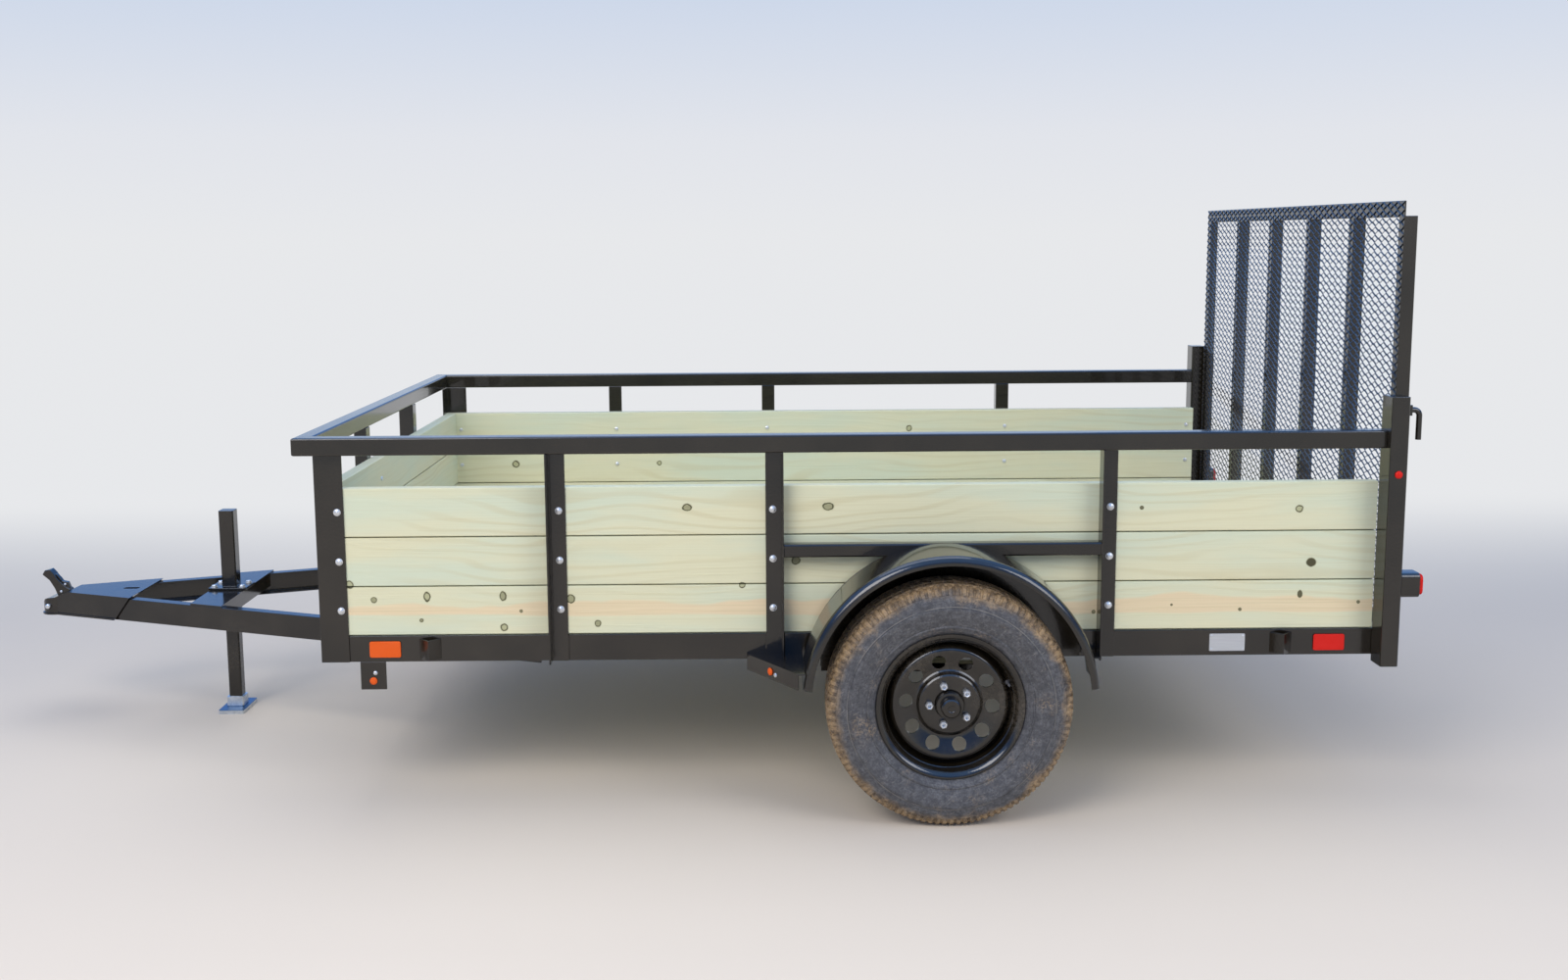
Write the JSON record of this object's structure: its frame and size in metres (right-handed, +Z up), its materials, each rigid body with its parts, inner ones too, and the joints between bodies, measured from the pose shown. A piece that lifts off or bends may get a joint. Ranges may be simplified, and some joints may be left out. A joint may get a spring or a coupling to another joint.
{
  "type": "utility trailer",
  "caption": "Utility trailer with plank sides, tube top rails, round fenders, a drop-leg jack, an A-frame tongue with latch coupler and a folding mesh ramp gate.",
  "frame": {"origin": "on the ground below the middle of the bounding box", "axes": "+X to the rear, +Y to the side away from the camera in the picture, +Z up"},
  "size_m": [4.366, 2.438, 1.72],
  "materials": {
    "black_paint": "gloss",
    "zinc": "satin",
    "pine": "matte",
    "tyre": "matte",
    "amber_lens": "gloss",
    "red_lens": "gloss",
    "bare_plate": "satin"
  },
  "bodies": {
    "chassis": {"rail_left": "black_paint", "rail_right": "black_paint", "end_members": "black_paint", "joists": "black_paint", "floor_planks": "pine", "tongue_rails": "black_paint", "coupler": "black_paint", "coupler_lever": "black_paint", "jack_bridge": "black_paint", "jack_tube": "black_paint", "corner_posts": "black_paint", "uprights_left": "black_paint", "uprights_right": "black_paint", "front_uprights": "black_paint", "rear_posts": "black_paint", "top_rail_left": "black_paint", "top_rail_right": "black_paint", "top_rail_front": "black_paint", "planks_left": "pine", "planks_right": "pine", "planks_front": "pine", "fender_bars": "black_paint", "fender_left": "black_paint", "fender_right": "black_paint", "fender_brackets": "black_paint", "fender_backs": "black_paint", "stake_pockets": "black_paint", "marker_brackets": "black_paint", "amber_reflectors": "amber_lens", "red_reflectors": "red_lens", "amber_markers": "amber_lens", "red_markers": "red_lens", "blank_plate": "bare_plate", "lamp_housings": "black_paint", "lamp_lenses": "red_lens", "axle": "black_paint", "leaf_springs": "black_paint", "spring_hangers": "black_paint", "axle_clamps": "black_paint", "hinge_lugs": "black_paint", "gate_latches": "black_paint"},
    "wheel_left": {"hub_left": "black_paint", "rim_left": "black_paint", "tyre_left": "tyre"},
    "wheel_right": {"hub_right": "black_paint", "rim_right": "black_paint", "tyre_right": "tyre"},
    "gate": {"gate_frame": "black_paint", "gate_mesh": "black_paint", "gate_barrels": "black_paint"},
    "jack_leg": {"jack_leg": "zinc"}
  },
  "joints": [
    {"name": "wheel_left_spin", "type": "hinge", "parent": "chassis", "child": "wheel_left", "pos_m": [0.831, -1.115, 0.344], "axis": [0, 1, 0], "continuous": true},
    {"name": "wheel_right_spin", "type": "hinge", "parent": "chassis", "child": "wheel_right", "pos_m": [0.831, 1.115, 0.344], "axis": [0, 1, 0], "continuous": true},
    {"name": "gate_hinge", "type": "hinge", "parent": "chassis", "child": "gate", "pos_m": [2.127, 0, 0.478], "axis": [0, 1, 0], "range_deg": [0, 111]},
    {"name": "jack_slide", "type": "slide", "parent": "chassis", "child": "jack_leg", "axis": [0, 0, 1], "range_m": [0, 0.28]}
  ]
}
